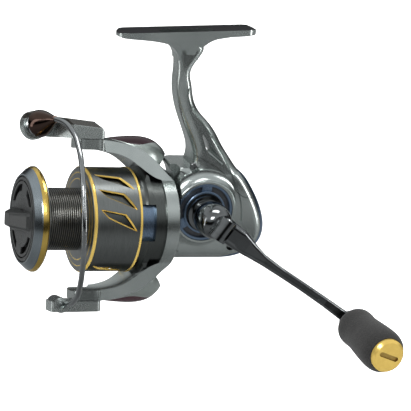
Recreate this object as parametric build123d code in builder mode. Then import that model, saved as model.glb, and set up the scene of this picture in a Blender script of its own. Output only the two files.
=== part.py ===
from build123d import *
import os
from math import atan2, cos, degrees, hypot, radians, sin, sqrt

# Front-drag spinning reel for a rod, all sizes in millimetres.
#
# Four drawing frames keep each group of pieces simple, and each piece is carried into the foot's
# frame when it is written:
#   gearbox frame  origin on the main shaft, X backwards along it, Z up to the rod, -Y the handle's side
#   shaft frame    Z forwards along the main shaft, X up to the rod
#   rotor frame    the shaft frame turned with the rotor, X towards the line roller's arm
#   crank frame    Z outwards along the handle's shaft, X along the handle arm
# The foot's frame has its origin at the centre of the seat that the rod rests on, X backwards along
# the rod and Z up through the seat.

os.makedirs("parts", exist_ok=True)

# ---------------------------------------------------------------- driving dimensions
SEAT_TILT = 3.84            # degrees between the rod and the main shaft
SEAT_CENTRE = (-21.0, 0, 87.45)
FOOT_LENGTH = 64.0
FOOT_WIDTH = 10.8

ROTOR_TURN = 15.0           # degrees from upright to the line roller's arm
ROTOR_BACK = 20.0           # the rotor's back, ahead of the gearbox frame's origin
ROTOR_RADIUS = 36.7
BAIL_PIVOT = 58.0
ARM_TIP = 63.0
ARM_TIP_HALF = 7.2

CRANK_X = -7.5
CRANK_Z = 8.7
CRANK_ANGLE = -31.9         # degrees of the handle arm below the horizontal
ARM_LENGTH = 71.5
HINGE_OUT = 37.5            # handle hinge, outwards from the middle plane

SPOOL_RADIUS = 23.0
ARBOR_RADIUS = 13.7
SKIRT_BACK = 38.6
SKIRT_FRONT = 59.9
LIP_BACK = 80.2
SHAFT_RADIUS = 2.0
RUNNING_GAP = 0.06

BODY_HALF = 12.5            # half the gearbox's width
BOSS_OUT = 15.3             # outer face of the handle side's boss
WALL = 1.8
SEAM_GAP = 0.25
SCREW_SEAT = 8.6            # the cover screws' seats, outwards from the middle plane

FACE_GEAR_TEETH = 41        # on the handle's shaft
PINION_TEETH = 8            # the rotor turns 41 / 8 times for one turn of the handle
PINION_MODULE = 0.9
OSCILLATION_CENTRE = (4.7, 3.8)
OSCILLATION_POST = 1.5
JOINT_PLANE = -3.5          # the gearbox's halves meet this far towards the handle

# ---------------------------------------------------------------- frames
TILT = radians(SEAT_TILT)
seat = Plane(origin=SEAT_CENTRE, x_dir=(cos(TILT), 0, sin(TILT)), z_dir=(-sin(TILT), 0, cos(TILT)))
shaft_frame = Plane(origin=(0, 0, 0), x_dir=(0, 0, 1), z_dir=(-1, 0, 0))
crank_down = radians(CRANK_ANGLE)
crank_frame = Plane(
    origin=(CRANK_X, 0, CRANK_Z), x_dir=(cos(crank_down), 0, sin(crank_down)), z_dir=(0, -1, 0)
)
GEARBOX_TO_SEAT = seat.location.inverse()
SHAFT_TO_SEAT = GEARBOX_TO_SEAT * shaft_frame.location
ROTOR_TO_SEAT = SHAFT_TO_SEAT * Location((0, 0, 0), (0, 0, ROTOR_TURN))
CRANK_TO_SEAT = GEARBOX_TO_SEAT * crank_frame.location


# ================================================================ housing: foot, stem and gearbox
# Level sections of the gearbox: height, front, back, half width, corner radius.
GEARBOX_SECTIONS = (
    (27.2, -21.6, 6.0, 9.4, 4.4),
    (24.6, -21.3, 11.4, 10.8, 5.4),
    (20.5, -19.5, 15.2, 11.8, 6.0),
    (15.0, -19.3, 19.0, 12.4, 6.4),
    (7.0, -19.3, 23.3, BODY_HALF, 6.6),
    (-1.5, -19.3, 25.3, BODY_HALF, 6.6),
    (-7.8, -19.3, 23.6, 12.1, 6.4),
    (-12.2, -19.1, 18.6, 11.0, 5.8),
    (-14.8, -18.4, 12.2, 8.8, 4.6),
    (-16.1, -16.8, 6.0, 6.0, 3.2),
)


def level_loft(sections):
    """A smooth solid through rounded level sections."""
    with BuildPart() as form:
        for height, front_x, back_x, half, corner in sections:
            with BuildSketch(Plane.XY.offset(height)):
                with Locations(((front_x + back_x) / 2, 0)):
                    RectangleRounded(back_x - front_x, 2 * half, corner)
        loft()
    return form.part


# Stem sections: height, front, back, half width, corner radius.
STEM_SECTIONS = (
    (81.0, -25.2, -16.2, 5.0, 3.0),
    (72.0, -24.4, -17.1, 5.4, 3.2),
    (64.0, -24.0, -16.9, 5.6, 3.2),
    (57.0, -22.8, -14.9, 5.8, 3.6),
    (51.5, -20.9, -11.6, 6.3, 4.0),
    (46.5, -18.6, -6.4, 6.9, 4.4),
    (41.5, -16.1, -2.2, 7.6, 4.8),
    (36.5, -13.7, 1.0, 8.5, 5.0),
    (31.0, -12.2, 5.2, 9.7, 5.2),
    (25.0, -13.0, 10.4, 11.0, 5.4),
)
# The foot's side outline is drawn on a plane that stands along the seat.
foot_side = Plane(origin=seat.origin, x_dir=seat.x_dir, z_dir=(0, -1, 0))
half_foot = FOOT_LENGTH / 2
FOOT_TIP = 2.0
WEB_WIDTH = 8.4             # the foot's narrower underside, which runs into the stem
flank_front = (
    (-1.4, -10.2), (-3.9, -6.1), (-7.3, -4.7),
    (-14.2, -3.6), (-21.0, -2.7), (-half_foot, -FOOT_TIP),
)
flank_rear = ((half_foot, -FOOT_TIP), (23.0, -2.5), (11.5, -3.8), (6.2, -5.1), (3.6, -7.4), (2.4, -10.2))
web_front = (
    (-4.6, -13.0), (-6.2, -8.4), (-9.2, -6.0),
    (-13.5, -4.7), (-20.0, -3.7), (-half_foot, -FOOT_TIP),
)
web_rear = ((half_foot, -FOOT_TIP), (20.0, -3.2), (11.0, -4.6), (6.4, -7.6), (4.4, -13.0))


def foot_slab(front_curve, rear_curve, width):
    """A slab of the foot with the seat on top and a swept underside."""
    with BuildPart() as slab:
        with BuildSketch(foot_side.offset(-width / 2)):
            with BuildLine():
                rear = Spline(*rear_curve)
                front = Spline(*front_curve)
                Line(rear @ 1, front @ 0)
                Polyline(front @ 1, (-half_foot, 0), (half_foot, 0), rear @ 0)
            make_face()
        extrude(amount=width)
    return slab.part


with BuildPart() as foot_form:
    add(foot_slab(flank_front, flank_rear, FOOT_WIDTH))
    add(foot_slab(web_front, web_rear, WEB_WIDTH))
    with BuildSketch(seat):
        SlotOverall(FOOT_LENGTH, FOOT_WIDTH)
    extrude(amount=20, both=True, mode=Mode.INTERSECT)

# The side cover lies below the seam, and the rear cover behind the crescent line.
SEAM_POINTS = (
    (-30.0, 34.5), (-14.8, 33.4), (-8.8, 31.2), (-2.2, 27.8), (3.0, 23.4), (7.4, 18.0), (18.0, 15.2),
)
CRESCENT_POINTS = (
    (4.0, 34.0), (9.2, 25.2), (14.4, 18.6), (19.2, 9.4), (21.9, -0.6), (19.6, -7.6), (12.6, -11.8), (1.0, -17.0),
)


def side_cover_region(drop):
    """The space of the side cover, with its seam lowered by a gap."""
    with BuildPart() as region:
        with BuildSketch(Plane.XZ.offset(-JOINT_PLANE + drop / 2)):
            with BuildLine():
                seam = Spline(*[(x, z - drop) for x, z in SEAM_POINTS])
                Polyline(seam @ 1, (40, 15.2), (40, -30), (-30, -30), seam @ 0)
            make_face()
        extrude(amount=30)
    return region.part


def rear_cover_region(shift):
    """The space of the rear cover, with its front edge moved back by a gap."""
    with BuildPart() as region:
        with BuildSketch(Plane.XZ.offset(-20)):
            with BuildLine():
                crescent = Spline(*[(x + shift, z) for x, z in CRESCENT_POINTS])
                Polyline(crescent @ 1, (1 + shift, -30), (40, -30), (40, 34), crescent @ 0)
            make_face()
        extrude(amount=40)
    return region.part


# Room for the gears inside the two halves.
CAVITY_HALF = BODY_HALF - WALL
CAVITY_FRONT = -17.4
cavity_points = (
    (CAVITY_FRONT, -11.0), (CAVITY_FRONT, 20.0), (-9.0, 23.0), (3.0, 22.5), (11.0, 15.5), (16.6, 5.0),
    (18.6, -3.0), (17.6, -7.2), (13.5, -10.2), (3.0, -12.2), (-14.0, -12.2),
)
with BuildPart() as cavity:
    with BuildSketch(Plane.XZ):
        with BuildLine():
            Polyline(*cavity_points, close=True)
        make_face()
        fillet(vertices(), 1.2)
    extrude(amount=CAVITY_HALF, both=True)

CRANK_HOLE = 5.5            # bearing seat in each side
PINION_HOLE = 6.5
CRANK_AXIS = Axis((CRANK_X, 0, CRANK_Z), (0, -1, 0))
# Radius across the page and distance out towards the handle up it.
crank_profile = Plane(origin=(CRANK_X, 0, CRANK_Z), x_dir=(1, 0, 0), z_dir=(0, 0, -1))

# Styling groove from the stem's corner down round the crank, on both sides, cut to an even depth
# by keeping a slightly narrower core.
GROOVE_DEPTH = 0.8
groove_points = (
    (-19.4, 62.0), (-17.8, 55.0), (-13.6, 49.6), (-8.0, 43.2), (-2.8, 36.4), (2.2, 28.6),
    (6.6, 20.0), (10.2, 10.5), (11.2, 3.0),
)
with BuildPart() as groove_cut:
    with BuildSketch(Plane.XZ.offset(-20)):
        with BuildLine():
            lower_edge = Spline(*groove_points)
            upper_edge = Spline(*[(x + 0.95, z + 0.35) for x, z in groove_points])
            Line(lower_edge @ 0, upper_edge @ 0)
            Line(lower_edge @ 1, upper_edge @ 1)
        make_face()
    extrude(amount=40)
    inner_sections = [(z, f, b, half - GROOVE_DEPTH, c) for z, f, b, half, c in STEM_SECTIONS]
    add(level_loft(inner_sections), mode=Mode.SUBTRACT)
    add(
        level_loft([(z, f, b, half - GROOVE_DEPTH, c) for z, f, b, half, c in GEARBOX_SECTIONS]),
        mode=Mode.SUBTRACT,
    )

# Slanted window through the stem.
with BuildPart() as stem_window:
    with BuildSketch(Plane.XZ):
        Polygon((-11.2, 43.6), (0.5, 29.9), (-0.2, 29.0), (-5.6, 32.2), (-8.2, 36.3), align=None)
        fillet(vertices(), 0.4)
    extrude(amount=20, both=True)

GUIDE_DROP = -7.8
GUIDE_RADIUS = 1.1
GUIDE_FRONT = -18.4
GUIDE_BACK = 18.0
CLUTCH_RADIUS = 11.8
SADDLE_DEPTH = 0.8
SADDLE_HALF = FOOT_WIDTH / 2 - 0.9
saddle_radius = (SADDLE_HALF**2 + SADDLE_DEPTH**2) / (2 * SADDLE_DEPTH)
FAR_BOSS_OUT = 14.8
FRONT_WALL = -19.3

with BuildPart() as housing:
    add(foot_form.part)
    add(level_loft(STEM_SECTIONS))
    add(level_loft(GEARBOX_SECTIONS))
    with BuildSketch(Plane.XZ.offset(-FAR_BOSS_OUT)):
        with Locations((CRANK_X, CRANK_Z)):
            Circle(10)
    extrude(amount=6)
    # The rod's saddle and the pocket in its floor.
    with BuildSketch(Plane(origin=seat.origin, x_dir=(0, 1, 0), z_dir=seat.x_dir)):
        with Locations((0, saddle_radius - SADDLE_DEPTH)):
            Circle(saddle_radius)
    extrude(amount=half_foot + 5, both=True, mode=Mode.SUBTRACT)
    with BuildSketch(seat):
        SlotOverall(25, 5.2)
    extrude(amount=-3.4, mode=Mode.SUBTRACT)
    add(stem_window.part, mode=Mode.SUBTRACT)
    add(groove_cut.part, mode=Mode.SUBTRACT)
    add(cavity.part, mode=Mode.SUBTRACT)
    add(side_cover_region(0), mode=Mode.SUBTRACT)
    add(rear_cover_region(0), mode=Mode.SUBTRACT)
    # Bearing seats for the handle's shaft and the pinion.
    with BuildSketch(Plane.XZ.offset(-30)):
        with Locations((CRANK_X, CRANK_Z)):
            Circle(CRANK_HOLE)
    extrude(amount=30, mode=Mode.SUBTRACT)
    with BuildSketch(Plane.YZ.offset(-30)):
        Circle(PINION_HOLE)
    extrude(amount=20, mode=Mode.SUBTRACT)
    # Round post for the oscillation gear.
    with BuildSketch(Plane.XZ.offset(-CAVITY_HALF - 0.5)):
        with Locations(OSCILLATION_CENTRE):
            Circle(OSCILLATION_POST)
    extrude(amount=CAVITY_HALF + 0.5 - 4.2)
    # Blind holes for the slider's guide rod.
    with BuildSketch(Plane.YZ.offset(GUIDE_FRONT)):
        with Locations((0, GUIDE_DROP)):
            Circle(GUIDE_RADIUS)
    extrude(amount=GUIDE_BACK - GUIDE_FRONT, mode=Mode.SUBTRACT)
    # Flat seat of the clutch.
    with BuildSketch(Plane.YZ.offset(FRONT_WALL)):
        Circle(CLUTCH_RADIUS + 0.6)
    extrude(amount=-5, mode=Mode.SUBTRACT)
housing.part.label = "housing"
export_step(housing.part.moved(GEARBOX_TO_SEAT), "parts/housing.step")

RECESS = 13.25              # radius of the recess round the handle's shaft
RECESS_FLOOR = 12.6
SCREW_SPOTS = ((-13.0, 28.0), (9.0, -8.4))
SCREW_HEAD = 1.75
with BuildPart() as side_cover:
    add(level_loft(STEM_SECTIONS))
    add(level_loft(GEARBOX_SECTIONS))
    # Coved boss round the handle's shaft.
    with BuildSketch(crank_profile):
        with BuildLine():
            cove = ThreePointArc((18.6, 11.7), (15.7, 12.9), (14.4, BOSS_OUT - 0.3))
            Polyline(
                cove @ 1, (14.1, BOSS_OUT), (RECESS, BOSS_OUT), (RECESS, RECESS_FLOOR), (CRANK_HOLE, RECESS_FLOOR),
                (CRANK_HOLE, 9.0), (18.6, 9.0), cove @ 0,
            )
        make_face()
    revolve(axis=CRANK_AXIS)
    add(side_cover_region(SEAM_GAP), mode=Mode.INTERSECT)
    with BuildSketch(Plane.XZ.offset(RECESS_FLOOR)):
        with Locations((CRANK_X, CRANK_Z)):
            Circle(RECESS)
    extrude(amount=10, mode=Mode.SUBTRACT)
    with BuildSketch(Plane.YZ.offset(-40)):
        Rectangle(80, 100)
    extrude(amount=40 + FRONT_WALL, mode=Mode.SUBTRACT)
    add(rear_cover_region(0), mode=Mode.SUBTRACT)
    add(groove_cut.part, mode=Mode.SUBTRACT)
    add(cavity.part, mode=Mode.SUBTRACT)
    with BuildSketch(Plane.XZ.offset(-5)):
        with Locations((CRANK_X, CRANK_Z)):
            Circle(CRANK_HOLE)
    extrude(amount=30, mode=Mode.SUBTRACT)
    with BuildSketch(Plane.YZ.offset(-30)):
        Circle(PINION_HOLE)
    extrude(amount=20, mode=Mode.SUBTRACT)
    # Counterbored screw holes.
    for spot in SCREW_SPOTS:
        with BuildSketch(Plane.XZ.offset(SCREW_SEAT)):
            with Locations(spot):
                Circle(SCREW_HEAD + 0.5)
        extrude(amount=10, mode=Mode.SUBTRACT)
side_cover.part.label = "side_cover"
export_step(side_cover.part.moved(GEARBOX_TO_SEAT), "parts/side_cover.step")

with BuildPart() as rear_cover:
    add(level_loft(STEM_SECTIONS))
    add(level_loft(GEARBOX_SECTIONS))
    add(rear_cover_region(SEAM_GAP), mode=Mode.INTERSECT)
rear_cover.part.label = "rear_cover"
export_step(rear_cover.part.moved(GEARBOX_TO_SEAT), "parts/rear_cover.step")


# Cross-head screws of the side cover.
with BuildPart() as cover_screws:
    for spot in SCREW_SPOTS:
        with BuildSketch(Plane.XZ.offset(SCREW_SEAT)):
            with Locations(spot):
                Circle(SCREW_HEAD)
        extrude(amount=1.3)
        fillet(cover_screws.edges().filter_by(GeomType.CIRCLE).sort_by(Axis.Y)[0], 0.5)
        with BuildSketch(Plane.XZ.offset(SCREW_SEAT + 0.7)):
            with Locations(spot):
                Rectangle(2.2, 0.55)
                Rectangle(0.55, 2.2)
        extrude(amount=1, mode=Mode.SUBTRACT)
cover_screws.part.label = "cover_screws"
export_step(cover_screws.part.moved(GEARBOX_TO_SEAT), "parts/cover_screws.step")

# Slotted cap that closes the far end of the handle's shaft.
with BuildPart() as far_cap:
    with BuildSketch(Plane.XZ.offset(-FAR_BOSS_OUT)):
        with Locations((CRANK_X, CRANK_Z)):
            Circle(8.8)
    extrude(amount=-3.6)
    fillet(far_cap.edges().filter_by(GeomType.CIRCLE).sort_by(Axis.Y)[-1], 1.4)
    with BuildSketch(Plane.XZ.offset(-FAR_BOSS_OUT - 2.4)):
        with Locations((CRANK_X, CRANK_Z)):
            Rectangle(13, 1.8)
    extrude(amount=-3, mode=Mode.SUBTRACT)
far_cap.part.label = "far_cap"
export_step(far_cap.part.moved(GEARBOX_TO_SEAT), "parts/far_cap.step")


def ring_at(plane, inner, outer, start, end):
    """A plain ring between two distances along a plane's normal."""
    with BuildPart() as ring:
        with BuildSketch(plane.offset(start)):
            Circle(outer)
            Circle(inner, mode=Mode.SUBTRACT)
        extrude(amount=end - start)
        chamfer(ring.edges().filter_by(GeomType.CIRCLE), 0.15)
    return ring.part


# ================================================================ handle's shaft: bearings and gears
# These pieces are drawn in the crank frame, so Z is the distance outwards.
CRANK_SHAFT_RADIUS = 3.4
bearing_bore = CRANK_SHAFT_RADIUS + RUNNING_GAP
with BuildPart() as near_bearing:
    add(ring_at(Plane.XY, bearing_bore, CRANK_HOLE, 9.4, 12.5))
near_bearing.part.label = "near_bearing"
export_step(near_bearing.part.moved(CRANK_TO_SEAT), "parts/near_bearing.step")

with BuildPart() as far_bearing:
    add(ring_at(Plane.XY, bearing_bore, CRANK_HOLE, -14.0, -11.0))
far_bearing.part.label = "far_bearing"
export_step(far_bearing.part.moved(CRANK_TO_SEAT), "parts/far_bearing.step")

# The space ahead of the gearbox's front, where the rotor turns.
with BuildPart() as front_space:
    with BuildSketch(Plane.YZ.offset(FRONT_WALL)):
        Rectangle(80, 100)
    extrude(amount=-20)
front_in_crank_frame = front_space.part.moved(crank_frame.location.inverse())

BEZEL_OUT = 15.0
with BuildPart() as bezel_plate:
    add(ring_at(Plane.XY, CRANK_HOLE + 0.2, RECESS - 0.1, RECESS_FLOOR, RECESS_FLOOR + 0.7))
    add(front_in_crank_frame, mode=Mode.SUBTRACT)
bezel_plate.part.label = "bezel_plate"
export_step(bezel_plate.part.moved(CRANK_TO_SEAT), "parts/bezel_plate.step")

# Two rims joined by a wide bridge at the top and two narrow ones.
with BuildPart() as crank_bezel:
    bezel_back = RECESS_FLOOR + 0.7
    add(ring_at(Plane.XY, RECESS - 1.3, RECESS - 0.1, bezel_back, BEZEL_OUT))
    add(ring_at(Plane.XY, 8.7, 9.7, bezel_back, BEZEL_OUT + 0.5))
    with BuildSketch(Plane.XY.offset(bezel_back)):
        with PolarLocations(10.8, 3, start_angle=90 - CRANK_ANGLE):
            Rectangle(2.9, 4.5)
    extrude(amount=BEZEL_OUT - bezel_back - 0.5)
    add(front_in_crank_frame, mode=Mode.SUBTRACT)
crank_bezel.part.label = "crank_bezel"
export_step(crank_bezel.part.moved(CRANK_TO_SEAT), "parts/crank_bezel.step")

with BuildPart() as crank_seal:
    add(ring_at(Plane.XY, CRANK_SHAFT_RADIUS + 0.3, 8.4, RECESS_FLOOR + 0.8, 14.6))
crank_seal.part.label = "crank_seal"
export_step(crank_seal.part.moved(CRANK_TO_SEAT), "parts/crank_seal.step")

# Hollow shaft that carries the drive gear.
SHAFT_OUTER_END = 17.0
with BuildPart() as drive_shaft:
    with BuildSketch():
        Circle(CRANK_SHAFT_RADIUS)
    extrude(amount=SHAFT_OUTER_END)
    with BuildSketch():
        Circle(CRANK_SHAFT_RADIUS)
    extrude(amount=-14.5)
    with BuildSketch(Plane.XY.offset(-15)):
        Circle(1.9)
    extrude(amount=40, mode=Mode.SUBTRACT)
drive_shaft.part.label = "drive_shaft"
export_step(drive_shaft.part.moved(CRANK_TO_SEAT), "parts/drive_shaft.step")

# Face gear: teeth point at the middle plane and drive the pinion's side.
FACE_GEAR_RADIUS = 9.3
FACE_GEAR_BACK = 8.6
FACE_GEAR_FRONT = 5.6
TOOTH_HEIGHT = 0.8
with BuildPart() as drive_gear:
    with BuildSketch(Plane.XY.offset(FACE_GEAR_FRONT)):
        Circle(FACE_GEAR_RADIUS)
        Circle(CRANK_SHAFT_RADIUS, mode=Mode.SUBTRACT)
    extrude(amount=FACE_GEAR_BACK - FACE_GEAR_FRONT)
    with BuildSketch(Plane.XY.offset(FACE_GEAR_FRONT)):
        with PolarLocations(7.9, FACE_GEAR_TEETH):
            Rectangle(2.6, 0.6)
    extrude(amount=-TOOTH_HEIGHT)
drive_gear.part.label = "drive_gear"
export_step(drive_gear.part.moved(CRANK_TO_SEAT), "parts/drive_gear.step")


def spur_gear(teeth, module, bore, start, end, turn):
    """A spur gear with slim straight-sided teeth that leave backlash."""
    pitch_radius = teeth * module / 2
    tip = pitch_radius + 0.7 * module
    root = pitch_radius - 0.95 * module
    tooth_angle = 360 / teeth
    with BuildPart() as gear:
        with BuildSketch(Plane.XY.offset(start)):
            Circle(root)
            for number in range(teeth):
                middle = radians(number * tooth_angle + turn)
                foot_half = radians(tooth_angle * 0.25)
                tip_half = radians(tooth_angle * 0.11)
                corners = [
                    ((root - 0.2) * cos(middle - foot_half), (root - 0.2) * sin(middle - foot_half)),
                    (tip * cos(middle - tip_half), tip * sin(middle - tip_half)),
                    (tip * cos(middle + tip_half), tip * sin(middle + tip_half)),
                    ((root - 0.2) * cos(middle + foot_half), (root - 0.2) * sin(middle + foot_half)),
                ]
                Polygon(*corners, align=None)
            Circle(bore, mode=Mode.SUBTRACT)
        extrude(amount=end - start)
    return gear.part


# The small gear on the handle's shaft turns the oscillation gear at half speed. Their centre line
# in the crank frame gives the teeth their rest angle.
centre_x = OSCILLATION_CENTRE[0] - CRANK_X
centre_z = OSCILLATION_CENTRE[1] - CRANK_Z
centre_distance = hypot(centre_x, centre_z)
SMALL_TEETH = 12
LARGE_TEETH = 24
oscillation_module = 2 * centre_distance / (SMALL_TEETH + LARGE_TEETH)
centre_angle = degrees(atan2(centre_z, centre_x)) - CRANK_ANGLE
OSCILLATION_FACE = -4.4
with BuildPart() as oscillation_pinion:
    add(spur_gear(SMALL_TEETH, oscillation_module, CRANK_SHAFT_RADIUS, -7.4, OSCILLATION_FACE, centre_angle))
oscillation_pinion.part.label = "oscillation_pinion"
export_step(oscillation_pinion.part.moved(CRANK_TO_SEAT), "parts/oscillation_pinion.step")

# Drawn on its own post's axis, with its crank pin facing the slider.
oscillation_frame = Plane(
    origin=(OSCILLATION_CENTRE[0], 0, OSCILLATION_CENTRE[1]), x_dir=crank_frame.x_dir, z_dir=(0, -1, 0)
)
OSCILLATION_TO_SEAT = GEARBOX_TO_SEAT * oscillation_frame.location
half_tooth = 180 / LARGE_TEETH
THROW = 7.0
with BuildPart() as oscillation_gear:
    add(
        spur_gear(
            LARGE_TEETH, oscillation_module, OSCILLATION_POST + RUNNING_GAP, -7.4, OSCILLATION_FACE,
            centre_angle + 180 + half_tooth,
        )
    )
    with BuildSketch(Plane.XY.offset(OSCILLATION_FACE)):
        with Locations((THROW * cos(radians(-CRANK_ANGLE)), THROW * sin(radians(-CRANK_ANGLE)))):
            Circle(1.3)
    extrude(amount=1.0)
oscillation_gear.part.label = "oscillation_gear"
export_step(oscillation_gear.part.moved(OSCILLATION_TO_SEAT), "parts/oscillation_gear.step")

# ================================================================ main shaft and its slider
# Drawn in the shaft frame: Z forwards.
SHAFT_BACK = -14.0
SHAFT_FRONT = 85.0
with BuildPart() as main_shaft:
    with BuildSketch(Plane.XY.offset(SHAFT_BACK)):
        Circle(SHAFT_RADIUS)
    extrude(amount=SHAFT_FRONT - SHAFT_BACK)
    chamfer(main_shaft.edges().filter_by(GeomType.CIRCLE), 0.4)
main_shaft.part.label = "main_shaft"
export_step(main_shaft.part.moved(SHAFT_TO_SEAT), "parts/main_shaft.step")

SLIDER_BACK = -12.5
SLIDER_LENGTH = 4.0
with BuildPart() as slider:
    with BuildSketch(Plane.XY.offset(SLIDER_BACK)):
        with Locations((-2.65, 0)):
            RectangleRounded(13.9, 5.2, 1.0)
        Circle(SHAFT_RADIUS, mode=Mode.SUBTRACT)
        with Locations((GUIDE_DROP, 0)):
            Circle(GUIDE_RADIUS + RUNNING_GAP, mode=Mode.SUBTRACT)
    extrude(amount=SLIDER_LENGTH)
slider.part.label = "slider"
export_step(slider.part.moved(SHAFT_TO_SEAT), "parts/slider.step")

with BuildPart() as guide_rod:
    with BuildSketch(Plane.XY.offset(-GUIDE_BACK)):
        with Locations((GUIDE_DROP, 0)):
            Circle(GUIDE_RADIUS)
    extrude(amount=GUIDE_BACK - GUIDE_FRONT)
guide_rod.part.label = "guide_rod"
export_step(guide_rod.part.moved(SHAFT_TO_SEAT), "parts/guide_rod.step")

PINION_JOURNAL = 3.5
with BuildPart() as pinion_bearing:
    add(ring_at(Plane.XY, PINION_JOURNAL + RUNNING_GAP, PINION_HOLE, 16.2, 19.0))
pinion_bearing.part.label = "pinion_bearing"
export_step(pinion_bearing.part.moved(SHAFT_TO_SEAT), "parts/pinion_bearing.step")

SLEEVE_RADIUS = 5.0
with BuildPart() as roller_clutch:
    add(ring_at(Plane.XY, SLEEVE_RADIUS + RUNNING_GAP, CLUTCH_RADIUS, -FRONT_WALL, 24.4))
roller_clutch.part.label = "roller_clutch"
export_step(roller_clutch.part.moved(SHAFT_TO_SEAT), "parts/roller_clutch.step")

# A washer that the spool's hub rests on.
with BuildPart() as shaft_washer:
    add(ring_at(Plane.XY, SHAFT_RADIUS, 4.0, 61.5, 62.9))
shaft_washer.part.label = "shaft_washer"
export_step(shaft_washer.part.moved(SHAFT_TO_SEAT), "parts/shaft_washer.step")

# ================================================================ rotor
# Drawn in the rotor frame: Z forwards, X towards the line roller's arm.
ROTOR_OUTER = ((22.0, 20.8), (25.3, 25.2), (30.5, 31.6), (34.2, 40.0), (35.9, 50.0), (ROTOR_RADIUS, 60.0))
ROTOR_INNER = ((31.6, 57.0), (31.5, 50.0), (29.6, 42.0), (25.8, 35.2), (23.6, 31.0), (22.4, 26.7))
ROTOR_BORE = 4.0
ROTOR_FLOOR = 26.7
with BuildPart() as rotor_band:
    with BuildSketch(Plane.XZ):
        with BuildLine():
            band_outside = Spline(*ROTOR_OUTER)
            band_inside = Spline(*ROTOR_INNER)
            Polyline(
                band_inside @ 1, (ROTOR_BORE, ROTOR_FLOOR), (ROTOR_BORE, ROTOR_BACK), (19.6, ROTOR_BACK),
                band_outside @ 0,
            )
            Polyline(band_outside @ 1, (ROTOR_RADIUS, ARM_TIP), (31.6, ARM_TIP), band_inside @ 0)
        make_face()
    revolve(axis=Axis.Z)

# The front outline: a round body with two tapering arms.
BODY_RADIUS = 22.2
ARM_ROOT = (12.0, 14.5)
ARM_END = (39.0, 7.4)
with BuildPart() as rotor_outline:
    with BuildSketch(Plane.XY.offset(ROTOR_BACK - 2)):
        Circle(BODY_RADIUS)
        for side in (1, -1):
            arm_corners = [
                (side * ARM_ROOT[0], ARM_ROOT[1]), (side * ARM_END[0], ARM_END[1]),
                (side * ARM_END[0], -ARM_END[1]), (side * ARM_ROOT[0], -ARM_ROOT[1]),
            ]
            Polygon(*arm_corners, align=None)
    extrude(amount=60)

# The space that the bail's levers sweep beside each arm's tip.
ARM_FLAT = 35.2
LEVER_SWEEP = 9.8
with BuildPart() as lever_space:
    for side in (1, -1):
        with BuildSketch(Plane.YZ.offset(side * ARM_FLAT)):
            with Locations((0, BAIL_PIVOT)):
                Circle(LEVER_SWEEP)
            with Locations((0, BAIL_PIVOT + 10)):
                Rectangle(30, 20)
        extrude(amount=side * 12)

PIVOT_RADIUS = 1.6
PIVOT_HEAD = 2.6
RECESS_RADIUS = 12.6
with BuildPart() as rotor_frame:
    add(rotor_band.part)
    add(rotor_outline.part, mode=Mode.INTERSECT)
    # Rounded tips.
    with BuildSketch(Plane.YZ):
        with BuildLine():
            Polyline(
                (-30, 18), (30, 18), (30, 42), (ARM_TIP_HALF, 53), (ARM_TIP_HALF, ARM_TIP),
                (-ARM_TIP_HALF, ARM_TIP), (-ARM_TIP_HALF, 53), (-30, 42), close=True,
            )
        make_face()
        fillet(vertices().group_by(Axis.Z)[-1], 2.5)
    extrude(amount=45, both=True, mode=Mode.INTERSECT)
    add(lever_space.part, mode=Mode.SUBTRACT)
    # Recess behind that covers the clutch.
    with BuildSketch(Plane.XY.offset(ROTOR_BACK)):
        Circle(RECESS_RADIUS)
    extrude(amount=5.2, mode=Mode.SUBTRACT)
    with BuildSketch(Plane.YZ.offset(-45)):
        with Locations((0, BAIL_PIVOT)):
            Circle(PIVOT_RADIUS)
    extrude(amount=90, mode=Mode.SUBTRACT)
rotor_frame.part.label = "rotor_frame"
export_step(rotor_frame.part.moved(ROTOR_TO_SEAT), "parts/rotor_frame.step")

# Bulged covers on the outside of both arms: each is turned on its own axis, so its crown is narrow.
COVER_AXIS = 26.5
COVER_CROWN = (
    (30.0, 21.3), (33.6, 24.4), (36.0, 28.6), (37.0, 34.0),
    (36.9, 40.0), (36.3, 46.0), (35.4, 51.0),
)
with BuildPart() as band_core:
    with BuildSketch(Plane.XZ):
        with BuildLine():
            core_outside = Spline(*ROTOR_OUTER)
            Polyline(core_outside @ 1, (0, 60), (0, ROTOR_BACK), (19.6, ROTOR_BACK), core_outside @ 0)
        make_face()
        # Clear of the gearbox's top.
        Polygon((0, 18), (29.4, 18), (29.4, 22.6), (25.9, 26.2), (0, 26.2), align=None)
    revolve(axis=Axis.Z)
with BuildPart() as arm_covers:
    for side in (1, -1):
        with BuildSketch(Plane.XZ):
            with BuildLine():
                crown = Spline(*[(side * x, z) for x, z in COVER_CROWN])
                Polyline(crown @ 1, (side * COVER_AXIS, 51.0), (side * COVER_AXIS, 21.3), crown @ 0)
            make_face()
        revolve(axis=Axis((side * COVER_AXIS, 0, 0), (0, 0, 1)))
    add(rotor_outline.part, mode=Mode.INTERSECT)
    add(band_core.part, mode=Mode.SUBTRACT)
    add(lever_space.part, mode=Mode.SUBTRACT)
arm_covers.part.label = "arm_covers"
export_step(arm_covers.part.moved(ROTOR_TO_SEAT), "parts/arm_covers.step")

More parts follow.
